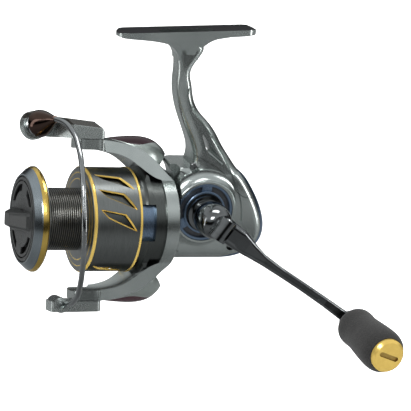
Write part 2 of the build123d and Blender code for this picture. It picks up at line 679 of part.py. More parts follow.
# Drum in front of the rotor's body, which the spool's skirt slides over, with its flare into the arms.
CUP_RADIUS = 21.2
CUP_INNER = 19.6
CUP_FRONT = 56.0
with BuildPart() as rotor_cup:
    with BuildSketch(Plane.XZ):
        with BuildLine():
            flare = ThreePointArc((CUP_RADIUS, 36.2), (22.2, 34.6), (23.9, 33.8))
            Polyline(
                flare @ 1, (23.5, 32.6), (CUP_RADIUS, 31.8), (CUP_RADIUS, ROTOR_FLOOR), (ROTOR_BORE, ROTOR_FLOOR),
                (ROTOR_BORE, 29.4), (CUP_INNER, 29.4), (CUP_INNER, CUP_FRONT), (CUP_RADIUS, CUP_FRONT), flare @ 0,
            )
        make_face()
    revolve(axis=Axis.Z)
    add(rotor_outline.part, mode=Mode.INTERSECT)
    with BuildSketch(Plane.XZ):
        with Locations((0, 36.2)):
            Rectangle(16, 9.4)
    extrude(amount=30, mode=Mode.SUBTRACT)
rotor_cup.part.label = "rotor_cup"
export_step(rotor_cup.part.moved(ROTOR_TO_SEAT), "parts/rotor_cup.step")

# Balancing block seen through the drum's window.
with BuildPart() as balance_weight:
    with BuildSketch(Plane.XY.offset(29.4)):
        Circle(CUP_INNER)
        Circle(16.8, mode=Mode.SUBTRACT)
        with Locations((0, -18)):
            Rectangle(17.5, 12, mode=Mode.INTERSECT)
    extrude(amount=13)
balance_weight.part.label = "balance_weight"
export_step(balance_weight.part.moved(ROTOR_TO_SEAT), "parts/balance_weight.step")

# Tubular pinion: teeth behind, a bearing journal, then the seat of the rotor.
PINION_BACK = 9.5
PINION_TEETH_FRONT = 15.9
with BuildPart() as pinion_gear:
    add(spur_gear(PINION_TEETH, PINION_MODULE, SHAFT_RADIUS + RUNNING_GAP, PINION_BACK, PINION_TEETH_FRONT, 0))
    with BuildSketch(Plane.XY.offset(PINION_TEETH_FRONT)):
        Circle(PINION_JOURNAL)
        Circle(SHAFT_RADIUS + RUNNING_GAP, mode=Mode.SUBTRACT)
    extrude(amount=-FRONT_WALL - PINION_TEETH_FRONT)
    with BuildSketch(Plane.XY.offset(-FRONT_WALL)):
        Circle(ROTOR_BORE)
        Circle(SHAFT_RADIUS + RUNNING_GAP, mode=Mode.SUBTRACT)
    extrude(amount=35.0 + FRONT_WALL)
pinion_gear.part.label = "pinion_gear"
export_step(pinion_gear.part.moved(ROTOR_TO_SEAT), "parts/pinion_gear.step")

with BuildPart() as clutch_sleeve:
    add(ring_at(Plane.XY, ROTOR_BORE, SLEEVE_RADIUS, -FRONT_WALL, 25.2))
clutch_sleeve.part.label = "clutch_sleeve"
export_step(clutch_sleeve.part.moved(ROTOR_TO_SEAT), "parts/clutch_sleeve.step")

with BuildPart() as rotor_nut:
    with BuildSketch(Plane.XY.offset(29.4)):
        RegularPolygon(6.6, 6)
        Circle(ROTOR_BORE, mode=Mode.SUBTRACT)
    extrude(amount=4)
rotor_nut.part.label = "rotor_nut"
export_step(rotor_nut.part.moved(ROTOR_TO_SEAT), "parts/rotor_nut.step")

LEVER_INNER = 35.6
LEVER_OUTER = 40.2
with BuildPart() as pivot_screws:
    for side in (1, -1):
        with BuildSketch(Plane.YZ.offset(side * 33.0)):
            with Locations((0, BAIL_PIVOT)):
                Circle(PIVOT_RADIUS)
        extrude(amount=side * (LEVER_OUTER - 33.0))
        with BuildSketch(Plane.YZ.offset(side * (LEVER_OUTER - 1.0))):
            with Locations((0, BAIL_PIVOT)):
                Circle(PIVOT_HEAD)
        extrude(amount=side * 1.1)
        with BuildSketch(Plane.YZ.offset(side * (LEVER_OUTER - 0.4))):
            with Locations((0, BAIL_PIVOT)):
                Rectangle(3.4, 0.7)
                Rectangle(0.7, 3.4)
        extrude(amount=side * 2, mode=Mode.SUBTRACT)
pivot_screws.part.label = "pivot_screws"
export_step(pivot_screws.part.moved(ROTOR_TO_SEAT), "parts/pivot_screws.step")

# ================================================================ bail
# Still in the rotor frame. The roller's own frame has Z from its boss towards the cone.
ROLLER_CENTRE = (40.9, 4.8, 78.9)
roller_frame = Plane(origin=ROLLER_CENTRE, x_dir=(12, 2.5, 0), z_dir=(2.5, -12, -3.7))
ROLLER_TO_SEAT = ROTOR_TO_SEAT * roller_frame.location
ROLLER_HALF = 1.3
ROLLER_PIN = 1.5
ROLLER_RADIUS = 4.7
BOSS_NEAR = -1.6
BOSS_FAR = -4.2
BOSS_RADIUS = 6.3
LEVER_RISE = 0.1            # slope of the lever's crown
lever_section = Plane(
    origin=(LEVER_INNER, 0, BAIL_PIVOT - 20),
    x_dir=(1, 0, -LEVER_RISE),
    z_dir=(LEVER_RISE, 0, 1),
)
with BuildPart() as roller_lever:
    with BuildSketch(Plane.YZ.offset(LEVER_INNER)):
        with BuildLine():
            Polyline(
                (-6.6, 51.8), (-3.0, 50.2), (3.0, 50.2), (6.6, 51.8), (6.6, 66), (10.5, 76), (10.5, 83.0), (5.0, 83.0),
                (4.5, 76), (0, 70.5), (-6.6, 65.5), close=True,
            )
        make_face()
        fillet(vertices(), 1.2)
    extrude(amount=14)
    # Bevelled crown that rises towards the roller, and a sloped rear end.
    with BuildSketch(lever_section):
        Polygon(
            (-9, -12), (-9, 12), (1.2, 12), (3.0, 6.6),
            (5.6, 3.4), (5.6, -3.4), (3.0, -6.6), (1.2, -12), align=None,
        )
    extrude(amount=60, mode=Mode.INTERSECT)
    with BuildSketch(Plane.XZ.offset(-20)):
        Polygon(
            (35, 49), (LEVER_INNER + 2.7, 50.2), (LEVER_INNER + 7, 55),
            (52, 60), (52, 90), (35, 90), align=None,
        )
    extrude(amount=40, mode=Mode.INTERSECT)
    with BuildSketch(roller_frame.offset(BOSS_FAR)):
        Circle(BOSS_RADIUS)
    extrude(amount=BOSS_NEAR - BOSS_FAR)
    # Clear of the roller.
    with BuildSketch(roller_frame.offset(BOSS_NEAR)):
        Circle(BOSS_RADIUS + 0.8)
    extrude(amount=20, mode=Mode.SUBTRACT)
    with BuildSketch(roller_frame.offset(BOSS_NEAR - 1.6)):
        Circle(ROLLER_PIN)
    extrude(amount=5, mode=Mode.SUBTRACT)
    with BuildSketch(Plane.YZ.offset(LEVER_INNER - 1)):
        with Locations((0, BAIL_PIVOT)):
            Circle(PIVOT_RADIUS + RUNNING_GAP)
    extrude(amount=10, mode=Mode.SUBTRACT)
    with BuildSketch(Plane.YZ.offset(LEVER_OUTER - 1.1)):
        with Locations((0, BAIL_PIVOT)):
            Circle(PIVOT_HEAD + 0.35)
    extrude(amount=10, mode=Mode.SUBTRACT)
roller_lever.part.label = "roller_lever"
export_step(roller_lever.part.moved(ROTOR_TO_SEAT), "parts/roller_lever.step")

with BuildPart() as roller_pin:
    with BuildSketch(Plane.XY.offset(BOSS_NEAR - 1.6)):
        Circle(ROLLER_PIN)
    extrude(amount=1.6 - 2 * BOSS_NEAR)
roller_pin.part.label = "roller_pin"
export_step(roller_pin.part.moved(ROLLER_TO_SEAT), "parts/roller_pin.step")

# The line roller, grooved.
with BuildPart() as line_roller:
    with BuildSketch(Plane.XZ):
        with BuildLine():
            groove = ThreePointArc((ROLLER_RADIUS, -0.9), (ROLLER_RADIUS - 0.6, 0), (ROLLER_RADIUS, 0.9))
            bore = ROLLER_PIN + RUNNING_GAP
            Polyline(
                groove @ 1, (ROLLER_RADIUS, ROLLER_HALF), (bore, ROLLER_HALF), (bore, -ROLLER_HALF),
                (ROLLER_RADIUS, -ROLLER_HALF), groove @ 0,
            )
        make_face()
    revolve(axis=Axis.Z)
line_roller.part.label = "line_roller"
export_step(line_roller.part.moved(ROLLER_TO_SEAT), "parts/line_roller.step")

# The wire runs from the cone's tip round the spool to the other arm.
WIRE_RADIUS = 1.2
CONE_TIP = 14.4
cone_reach = CONE_TIP / sqrt(2.5**2 + 12**2 + 3.7**2)
cone_end = (
    ROLLER_CENTRE[0] + 2.5 * cone_reach, ROLLER_CENTRE[1] - 12 * cone_reach, ROLLER_CENTRE[2] - 3.7 * cone_reach
)
WIRE_POINTS = (
    cone_end, (42.5, -17.0, 72.2), (36.7, -26.2, 70.9), (28.9, -34.2, 71.3), (16.4, -40.8, 71.9),
    (2.5, -43.2, 71.9), (-11.8, -40.5, 70.8), (-23.4, -33.0, 69.2), (-30.0, -25.0, 67.6), (-35.0, -16.0, 67.1),
    (-37.0, -6.6, 68.2),
)
with BuildPart() as bail_wire:
    with BuildLine() as wire_path:
        FilletPolyline(*WIRE_POINTS, radius=22)
    with BuildSketch(Plane(origin=wire_path.line @ 0, z_dir=wire_path.line % 0)):
        Circle(WIRE_RADIUS)
    sweep(path=wire_path.line)
bail_wire.part.label = "bail_wire"
export_step(bail_wire.part.moved(ROTOR_TO_SEAT), "parts/bail_wire.step")

# The cone that guides the line on to the roller.
with BuildPart() as bail_cone:
    with BuildSketch(Plane.XZ):
        with BuildLine():
            cone_side = Spline((6.1, 2.2), (5.9, 3.6), (4.9, 6.6), (3.4, 9.8), (2.1, 12.6), (1.5, CONE_TIP))
            Polyline(cone_side @ 1, (0, CONE_TIP), (0, -BOSS_NEAR), (5.7, -BOSS_NEAR), cone_side @ 0)
        make_face()
    revolve(axis=Axis.Z)
    add(bail_wire.part.moved(roller_frame.location.inverse()), mode=Mode.SUBTRACT)
bail_cone.part.label = "bail_cone"
export_step(bail_cone.part.moved(ROLLER_TO_SEAT), "parts/bail_cone.step")

# The bracket that carries the wire's far end, with a round socket.
SOCKET_SPOT = (-37.0, 69.4)
SOCKET_BOSS = 3.4
TIP_SWEEP = 9.3             # clear of the rotor arm's corners
with BuildPart() as wire_bracket:
    with BuildSketch(Plane.YZ.offset(-LEVER_INNER)):
        with BuildLine():
            Polyline(
                (-6.6, 51.6), (-3.0, 49.8), (3.0, 49.8), (6.6, 51.6), (6.6, 62), (4.0, 73.2), (-5.6, 73.2), (-6.6, 63),
                close=True,
            )
        make_face()
        fillet(vertices(), 1.6)
    extrude(amount=LEVER_INNER - LEVER_OUTER)
    with BuildSketch(Plane.XZ.offset(-3.0)):
        with Locations(SOCKET_SPOT):
            Circle(SOCKET_BOSS)
    extrude(amount=10.6)
    with BuildSketch(Plane.XZ.offset(6.2)):
        with Locations(SOCKET_SPOT):
            Circle(1.9)
    extrude(amount=3, mode=Mode.SUBTRACT)
    add(bail_wire.part, mode=Mode.SUBTRACT)
    with BuildSketch(Plane.YZ.offset(1 - LEVER_INNER)):
        with Locations((0, BAIL_PIVOT)):
            Circle(PIVOT_RADIUS + RUNNING_GAP)
    extrude(amount=-10, mode=Mode.SUBTRACT)
    with BuildSketch(Plane.YZ.offset(1.1 - LEVER_OUTER)):
        with Locations((0, BAIL_PIVOT)):
            Circle(PIVOT_HEAD + 0.35)
    extrude(amount=-10, mode=Mode.SUBTRACT)
    # Nothing of the boss reaches the rotor arm's tip.
    with BuildSketch(Plane.YZ.offset(-LEVER_INNER)):
        with Locations((0, BAIL_PIVOT)):
            Circle(TIP_SWEEP)
    extrude(amount=10, mode=Mode.SUBTRACT)
wire_bracket.part.label = "wire_bracket"
export_step(wire_bracket.part.moved(ROTOR_TO_SEAT), "parts/wire_bracket.step")

# ================================================================ spool
# Drawn in the shaft frame: Z forwards, X up.
SKIRT_INNER = 22.2
FLANGE_BACK = 59.4
ARBOR_FRONT = 79.6
DRAG_RADIUS = 11.0
DRAG_FLOOR = 72.0
FRONT_DISC = 80.9
DISC_RADIUS = 21.5
HUB_RADIUS = 4.5
HUB_BACK = 63.0
spool_bore = SHAFT_RADIUS + RUNNING_GAP
KITE_TURN = 10.65           # half of the angle between a window's two tips
# Skirt windows: distance along the shaft and angle from the window's middle, in degrees.
KITE_CORNERS = ((56.7, KITE_TURN), (46.4, 5.35), (41.5, -KITE_TURN), (53.8, 3.55))
KITE_FIRST = 76.4
KITE_STEP = 23.7
KITE_GROUPS = 3
with BuildPart() as spool_body:
    with BuildSketch(Plane.XZ):
        with BuildLine():
            Polyline(
                (SKIRT_INNER, SKIRT_BACK), (SPOOL_RADIUS + 0.3, SKIRT_BACK), (SPOOL_RADIUS + 0.3, 39.4),
                (SPOOL_RADIUS, 39.7), (SPOOL_RADIUS, 58.9),
                (SPOOL_RADIUS + 0.3, 59.2), (SPOOL_RADIUS + 0.3, SKIRT_FRONT),
                (SPOOL_RADIUS - 0.4, 60.6), (ARBOR_RADIUS, 61.4), (ARBOR_RADIUS, ARBOR_FRONT),
                (DISC_RADIUS, ARBOR_FRONT), (DISC_RADIUS, FRONT_DISC), (DRAG_RADIUS, FRONT_DISC),
                (DRAG_RADIUS, DRAG_FLOOR), (spool_bore, DRAG_FLOOR), (spool_bore, HUB_BACK), (HUB_RADIUS, HUB_BACK),
                (HUB_RADIUS, 70.0), (12.2, 70.0), (12.2, FLANGE_BACK), (20.8, FLANGE_BACK), (SKIRT_INNER, 58.4),
                close=True,
            )
        make_face()
    revolve(axis=Axis.Z)
    # Slanted kite windows in three groups round the skirt.
    for group in range(KITE_GROUPS):
        for number in range(3):
            turn = radians(KITE_FIRST - number * KITE_STEP - KITE_TURN + group * 360 / KITE_GROUPS)
            outward = (sin(turn), -cos(turn), 0)
            corners = [(z, -SPOOL_RADIUS * sin(radians(offset))) for z, offset in KITE_CORNERS]
            face_plane = Plane(
                origin=(outward[0] * 18, outward[1] * 18, 0), x_dir=(0, 0, 1), z_dir=outward
            )
            with BuildSketch(face_plane):
                Polygon(*corners, align=None)
            extrude(amount=10, mode=Mode.SUBTRACT)
            # Bevelled edge.
            with BuildSketch(face_plane.offset(5.4)):
                Polygon(*corners, align=None)
                offset(amount=1.1, kind=Kind.INTERSECTION)
            extrude(amount=-1.3, taper=42, mode=Mode.SUBTRACT)
spool_body.part.label = "spool_body"
export_step(spool_body.part.moved(SHAFT_TO_SEAT), "parts/spool_body.step")

# Polished lip that the line leaves over.
LIP_FRONT = 83.0
LIP_INNER = 18.9
with BuildPart() as spool_lip:
    with BuildSketch(Plane.XZ):
        with BuildLine():
            Polyline(
                (LIP_INNER, FRONT_DISC), (DISC_RADIUS, FRONT_DISC), (DISC_RADIUS, LIP_BACK), (22.3, LIP_BACK),
                (SPOOL_RADIUS, 80.9), (SPOOL_RADIUS, 81.8), (22.3, LIP_FRONT), (LIP_INNER, LIP_FRONT), close=True,
            )
        make_face()
    revolve(axis=Axis.Z)
spool_lip.part.label = "spool_lip"
export_step(spool_lip.part.moved(SHAFT_TO_SEAT), "parts/spool_lip.step")

# Bevelled ring in front of the lip.
FACE_FRONT = 86.0
with BuildPart() as spool_face:
    with BuildSketch(Plane.XZ):
        with BuildLine():
            Polyline(
                (LIP_INNER, LIP_FRONT), (22.2, LIP_FRONT), (22.0, 83.4), (19.6, FACE_FRONT), (LIP_INNER, FACE_FRONT),
                close=True,
            )
        make_face()
    revolve(axis=Axis.Z)
spool_face.part.label = "spool_face"
export_step(spool_face.part.moved(SHAFT_TO_SEAT), "parts/spool_face.step")

# Drag washers, plain and lined by turns.
WASHER_THICKNESS = 1.0
WASHER_COUNT = 5
with BuildPart() as drag_washers:
    for number in range(WASHER_COUNT):
        washer_back = DRAG_FLOOR + number * (WASHER_THICKNESS + 0.1)
        with BuildSketch(Plane.XY.offset(washer_back)):
            Circle(DRAG_RADIUS - 0.4 - 0.3 * (number % 2))
            Circle(SHAFT_RADIUS + 0.5, mode=Mode.SUBTRACT)
        extrude(amount=WASHER_THICKNESS)
drag_washers.part.label = "drag_washers"
export_step(drag_washers.part.moved(SHAFT_TO_SEAT), "parts/drag_washers.step")

# Sprung wire that keeps the washers in.
with BuildPart() as drag_retainer:
    with BuildSketch(Plane.XY.offset(78.0)):
        Circle(DRAG_RADIUS)
        Circle(DRAG_RADIUS - 0.9, mode=Mode.SUBTRACT)
        with Locations((-DRAG_RADIUS, 0)):
            Rectangle(6, 3, mode=Mode.SUBTRACT)
    extrude(amount=0.8)
drag_retainer.part.label = "drag_retainer"
export_step(drag_retainer.part.moved(SHAFT_TO_SEAT), "parts/drag_retainer.step")

# Round clip that holds the line's end, between two groups of windows.
CLIP_TURN = radians(225)
clip_normal = (sin(CLIP_TURN), -cos(CLIP_TURN), 0)
clip_plane = Plane(origin=(0, 0, 50), x_dir=(0, 0, 1), z_dir=clip_normal)
with BuildPart() as line_clip:
    with BuildSketch(clip_plane.offset(SKIRT_INNER)):
        Circle(2.6)
    extrude(amount=2.6)
    fillet(line_clip.edges().filter_by(GeomType.CIRCLE)[-1], 0.4)
    with BuildSketch(Plane.XY.offset(45)):
        Circle(SPOOL_RADIUS)
    extrude(amount=10, mode=Mode.SUBTRACT)
line_clip.part.label = "line_clip"
export_step(line_clip.part.moved(SHAFT_TO_SEAT), "parts/line_clip.step")

# ================================================================ drag knob
KNOB_RADIUS = 18.6
KNOB_BACK = 81.0
KNOB_DISC = 86.2
GRIP_LENGTH = 28.0
GRIP_WIDTH = 8.0
GRIP_HEIGHT = 6.6
GRIP_TURN = 12.6
with BuildPart() as drag_knob:
    with BuildSketch(Plane.XY.offset(KNOB_BACK)):
        Circle(KNOB_RADIUS)
    extrude(amount=KNOB_DISC - KNOB_BACK)
    chamfer(drag_knob.edges().filter_by(GeomType.CIRCLE).group_by(Axis.Z)[-1], 0.5)
    # Groove inside the rim.
    with BuildSketch(Plane.XY.offset(KNOB_DISC - 0.8)):
        Circle(17.1)
        Circle(16.4, mode=Mode.SUBTRACT)
    extrude(amount=4, mode=Mode.SUBTRACT)
    # Sunk arcs on both sides of the grip.
    with BuildSketch(Plane.XY.offset(KNOB_DISC - 1.5)):
        Circle(15.2)
        Circle(12.2, mode=Mode.SUBTRACT)
        Rectangle(GRIP_WIDTH + 5, 2 * KNOB_RADIUS, rotation=GRIP_TURN, mode=Mode.SUBTRACT)
        Rectangle(2 * KNOB_RADIUS, 7, mode=Mode.SUBTRACT)
    extrude(amount=4, mode=Mode.SUBTRACT)
    # Grip whose ends slope up to a short ridge.
    with BuildSketch(Plane.XY.offset(KNOB_DISC - 0.4)):
        RectangleRounded(GRIP_WIDTH, GRIP_LENGTH, 1.6, rotation=GRIP_TURN)
    with BuildSketch(Plane.XY.offset(KNOB_DISC + 1.4)):
        RectangleRounded(GRIP_WIDTH - 0.6, GRIP_LENGTH - 4, 1.5, rotation=GRIP_TURN)
    with BuildSketch(Plane.XY.offset(KNOB_DISC + GRIP_HEIGHT)):
        RectangleRounded(GRIP_WIDTH - 1.8, 7.4, 1.3, rotation=GRIP_TURN)
    loft(ruled=True)
    fillet(drag_knob.faces().sort_by(Axis.Z)[-1].edges(), 0.5)
    with BuildSketch(Plane.XY.offset(KNOB_BACK)):
        RegularPolygon(4.6, 6)
    extrude(amount=5.2, mode=Mode.SUBTRACT)
drag_knob.part.label = "drag_knob"
export_step(drag_knob.part.moved(SHAFT_TO_SEAT), "parts/drag_knob.step")

with BuildPart() as knob_nut:
    with BuildSketch(Plane.XY.offset(KNOB_BACK)):
        RegularPolygon(4.6, 6)
        Circle(spool_bore, mode=Mode.SUBTRACT)
    extrude(amount=3.4)
knob_nut.part.label = "knob_nut"
export_step(knob_nut.part.moved(SHAFT_TO_SEAT), "parts/knob_nut.step")

# ================================================================ handle
# Drawn in the crank frame: Z outwards, X along the arm.
HUB_COLLAR = 8.3
HINGE_RADIUS = 4.2
TONGUE_HALF = 2.5
PIN_RADIUS = 1.6
with BuildPart() as handle_hub:
    with BuildSketch(Plane.XZ):
        with BuildLine():
            dome = Spline((6.9, 19.0), (7.6, 21.6), (7.8, 25.0), (7.4, 29.0), (5.8, 32.4), (3.0, 34.0))
            Polyline(
                dome @ 1, (0, 34.2), (0, SHAFT_OUTER_END), (CRANK_SHAFT_RADIUS, SHAFT_OUTER_END),
                (CRANK_SHAFT_RADIUS, 16.0), (HUB_COLLAR, 16.0), (HUB_COLLAR, 17.4), (6.9, 17.8), dome @ 0,
            )
        make_face()
    revolve(axis=Axis.Z)
    # Room for the arm's root and ears to fold.
    with BuildSketch(Plane.XZ.offset(-12)):
        Polygon((0, 32.2), (6, 31.0), (13, 29.2), (13, 44), (0, 44), align=None)
    extrude(amount=24, mode=Mode.SUBTRACT)
    with BuildSketch(Plane.XZ.offset(-12)):
        with Locations((0, HINGE_OUT)):
            Circle(HINGE_RADIUS + 0.5)
    extrude(amount=24, mode=Mode.SUBTRACT)
    with BuildSketch(Plane.XZ.offset(-TONGUE_HALF)):
        with Locations((0, HINGE_OUT)):
            Circle(HINGE_RADIUS - 0.2)
        with Locations((-1.9, 33.5)):
            Rectangle(3.8, 8)
    extrude(amount=2 * TONGUE_HALF)
    with BuildSketch(Plane.XZ.offset(-12)):
        with Locations((0, HINGE_OUT)):
            Circle(PIN_RADIUS + RUNNING_GAP)
    extrude(amount=24, mode=Mode.SUBTRACT)
handle_hub.part.label = "handle_hub"
export_step(handle_hub.part.moved(CRANK_TO_SEAT), "parts/handle_hub.step")

# Arm sections: distance along the arm, shift to the side, middle height, depth, half width, corner radius.
ARM_SECTIONS = (
    (2.0, 0.7, 37.6, 8.0, 5.0, 2.4),
    (7.5, 0.7, 38.8, 7.6, 4.95, 2.3),
    (12.0, 0.25, 39.9, 7.2, 4.1, 2.0),
    (17.0, -0.1, 41.0, 6.6, 3.1, 1.4),
    (22.0, -0.35, 42.2, 6.0, 2.35, 1.1),
    (32.0, -0.2, 44.6, 5.2, 1.95, 0.9),
    (42.0, 0.2, 46.9, 4.8, 1.95, 0.9),
    (55.0, 0.45, 49.8, 4.7, 2.05, 0.9),
    (70.0, 0.3, 52.1, 4.8, 2.4, 1.0),
)


# Oval pocket in the arm's outer face with a groove that runs out of it, and a wedge near the end.
# Its floor follows the outer face at a small depth.
POCKET_FLOOR = (
    (0.0, 40.5), (12.0, 42.7), (22.0, 44.4), (32.0, 46.4), (42.0, 48.5), (55.0, 51.3), (68.0, 53.5),
)
with BuildPart() as arm_pocket:
    with BuildSketch(Plane.XY.offset(36)):
        with BuildLine():
            near_side = Spline(
                (4.9, 0.7), (6.4, 3.3), (9.5, 3.4), (14, 2.1), (19, 0.6), (22, 0.0), (32, 0.2), (42, 0.6), (52, 0.8)
            )
            far_side = Spline(
                (4.9, 0.7), (6.4, -2.1), (9.5, -2.6), (14, -2.0), (19, -1.3), (22, -0.8), (32, -0.6), (42, -0.2), (52, 0.1)
            )
            Line(near_side @ 1, far_side @ 1)
        make_face()
        Polygon((53.5, 0.4), (60, 1.2), (66, 1.5), (66, -0.8), (60, -0.4), align=None)
    extrude(amount=30)
    with BuildSketch(Plane.XZ.offset(-10)):
        Polygon(*POCKET_FLOOR, (68.0, 70.0), (0.0, 70.0), align=None)
    extrude(amount=20, mode=Mode.INTERSECT)

KNOB_BASE = 55.4
# Round end under the knob.
ARM_END_BACK = 49.7
ARM_END_FACE = 54.5
with BuildPart() as arm_end:
    with BuildSketch(Plane.XY.offset(ARM_END_BACK)):
        with Locations((ARM_LENGTH, 0)):
            Circle(4.7)
    extrude(amount=ARM_END_FACE - ARM_END_BACK)
    fillet(arm_end.edges().filter_by(GeomType.CIRCLE), 1.2)

with BuildPart() as handle_arm:
    for along, aside, middle, depth, half, corner in ARM_SECTIONS:
        with BuildSketch(Plane.YZ.offset(along)):
            with Locations((aside, middle)):
                RectangleRounded(2 * half, depth, corner)
    loft(ruled=True)
    with BuildSketch(Plane.XZ.offset(-4.9)):
        with Locations((0, HINGE_OUT)):
            Circle(HINGE_RADIUS)
    extrude(amount=9.8)
    add(arm_end.part)
    add(arm_pocket.part, mode=Mode.SUBTRACT)
    # Slot for the hub's tongue.
    with BuildSketch(Plane.XZ.offset(-TONGUE_HALF - RUNNING_GAP)):
        with Locations((0, HINGE_OUT)):
            Circle(HINGE_RADIUS + 0.3)
        with Locations((-5, HINGE_OUT)):
            Rectangle(10, 12)
    extrude(amount=2 * (TONGUE_HALF + RUNNING_GAP), mode=Mode.SUBTRACT)
    with BuildSketch(Plane.XZ.offset(-12)):
        with Locations((0, HINGE_OUT)):
            Circle(PIN_RADIUS)
    extrude(amount=24, mode=Mode.SUBTRACT)
handle_arm.part.label = "handle_arm"
export_step(handle_arm.part.moved(CRANK_TO_SEAT), "parts/handle_arm.step")

with BuildPart() as hinge_pin:
    with BuildSketch(Plane.XZ.offset(-5.3)):
        with Locations((0, HINGE_OUT)):
            Circle(PIN_RADIUS)
    extrude(amount=10.6)
    chamfer(hinge_pin.edges().filter_by(GeomType.CIRCLE), 0.3)
hinge_pin.part.label = "hinge_pin"
export_step(hinge_pin.part.moved(CRANK_TO_SEAT), "parts/hinge_pin.step")

# Spindle that the knob turns on, with its collar.
SPINDLE_RADIUS = 2.5
SPINDLE_END = 87.0
spindle_axis = Plane.XY.offset(ARM_END_FACE)
with BuildPart() as knob_spindle:
    with BuildSketch(spindle_axis):
        with Locations((ARM_LENGTH, 0)):
            Circle(4.2)
    extrude(amount=KNOB_BASE - 0.3 - ARM_END_FACE)
    with BuildSketch(spindle_axis):
        with Locations((ARM_LENGTH, 0)):
            Circle(SPINDLE_RADIUS)
    extrude(amount=SPINDLE_END - ARM_END_FACE)
knob_spindle.part.label = "knob_spindle"
export_step(knob_spindle.part.moved(CRANK_TO_SEAT), "parts/knob_spindle.step")

# ================================================================ knob
# Drawn round its own axis, standing on the arm's end.
knob_plane = Plane(origin=(ARM_LENGTH, 0, 0))
KNOB_TO_SEAT = CRANK_TO_SEAT * knob_plane.location
BUSHING_RADIUS = 4.0
GRIP_END = 88.2
KNOB_END = 90.6
CAP_RADIUS = 7.4
with BuildPart() as knob_bushing:
    with BuildSketch(Plane.XY.offset(KNOB_BASE)):
        Circle(BUSHING_RADIUS)
        Circle(SPINDLE_RADIUS + RUNNING_GAP, mode=Mode.SUBTRACT)
    extrude(amount=GRIP_END - KNOB_BASE)
knob_bushing.part.label = "knob_bushing"
export_step(knob_bushing.part.moved(KNOB_TO_SEAT), "parts/knob_bushing.step")

with BuildPart() as knob_grip:
    with BuildSketch(Plane.XZ):
        with BuildLine():
            grip_side = Spline(
                (7.2, KNOB_BASE), (8.3, 57.2), (8.5, 63.0), (8.8, 70.0), (9.4, 77.0), (9.6, 82.0), (9.0, 86.4),
                (7.8, GRIP_END),
            )
            Polyline(grip_side @ 1, (BUSHING_RADIUS, GRIP_END), (BUSHING_RADIUS, KNOB_BASE), grip_side @ 0)
        make_face()
    revolve(axis=Axis.Z)
knob_grip.part.label = "knob_grip"
export_step(knob_grip.part.moved(KNOB_TO_SEAT), "parts/knob_grip.step")

with BuildPart() as knob_cap:
    with BuildSketch(Plane.XY.offset(GRIP_END)):
        Circle(CAP_RADIUS)
    extrude(amount=KNOB_END - GRIP_END)
    chamfer(knob_cap.edges().filter_by(GeomType.CIRCLE).group_by(Axis.Z)[-1], 1.0)
    with BuildSketch(Plane.XY.offset(KNOB_END - 1.2)):
        SlotOverall(9.6, 2.1, rotation=12)
    extrude(amount=3, mode=Mode.SUBTRACT)
knob_cap.part.label = "knob_cap"
export_step(knob_cap.part.moved(KNOB_TO_SEAT), "parts/knob_cap.step")
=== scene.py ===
import math

import bpy
from mathutils import Matrix, Vector


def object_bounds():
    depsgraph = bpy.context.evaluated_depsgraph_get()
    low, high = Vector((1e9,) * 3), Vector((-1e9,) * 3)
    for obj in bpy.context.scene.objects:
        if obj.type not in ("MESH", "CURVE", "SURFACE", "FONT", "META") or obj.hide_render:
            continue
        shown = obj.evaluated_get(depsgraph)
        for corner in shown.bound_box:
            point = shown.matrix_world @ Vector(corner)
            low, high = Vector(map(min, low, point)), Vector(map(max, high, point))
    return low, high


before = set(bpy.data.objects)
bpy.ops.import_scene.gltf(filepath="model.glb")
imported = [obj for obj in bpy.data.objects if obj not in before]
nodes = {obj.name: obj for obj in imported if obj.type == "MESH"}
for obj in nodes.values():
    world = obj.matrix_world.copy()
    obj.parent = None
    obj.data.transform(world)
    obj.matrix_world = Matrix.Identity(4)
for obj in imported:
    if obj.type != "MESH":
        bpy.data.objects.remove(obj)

cad_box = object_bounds()
scene = bpy.context.scene

# ---------------------------------------------------------------- gearbox frame
# The main shaft lies at SEAT_TILT to the foot. Shaders and camera are written in the gearbox's
# millimetres: X backwards along the main shaft, Z up, -Y to the handle's side.
SEAT_TILT = math.radians(3.84)
SEAT_CENTRE = Vector((-21.0, 0.0, 87.45))
ROTOR_LEAN = math.radians(15)
MILLIMETRES = 1000.0
to_row = Matrix.Rotation(SEAT_TILT, 3, "Y")


def row_point(x, y, z):
    """A gearbox point in the row's metres."""
    return to_row @ (Vector((x, y, z)) - SEAT_CENTRE) / MILLIMETRES


def row_direction(x, y, z):
    return to_row @ Vector((x, y, z))


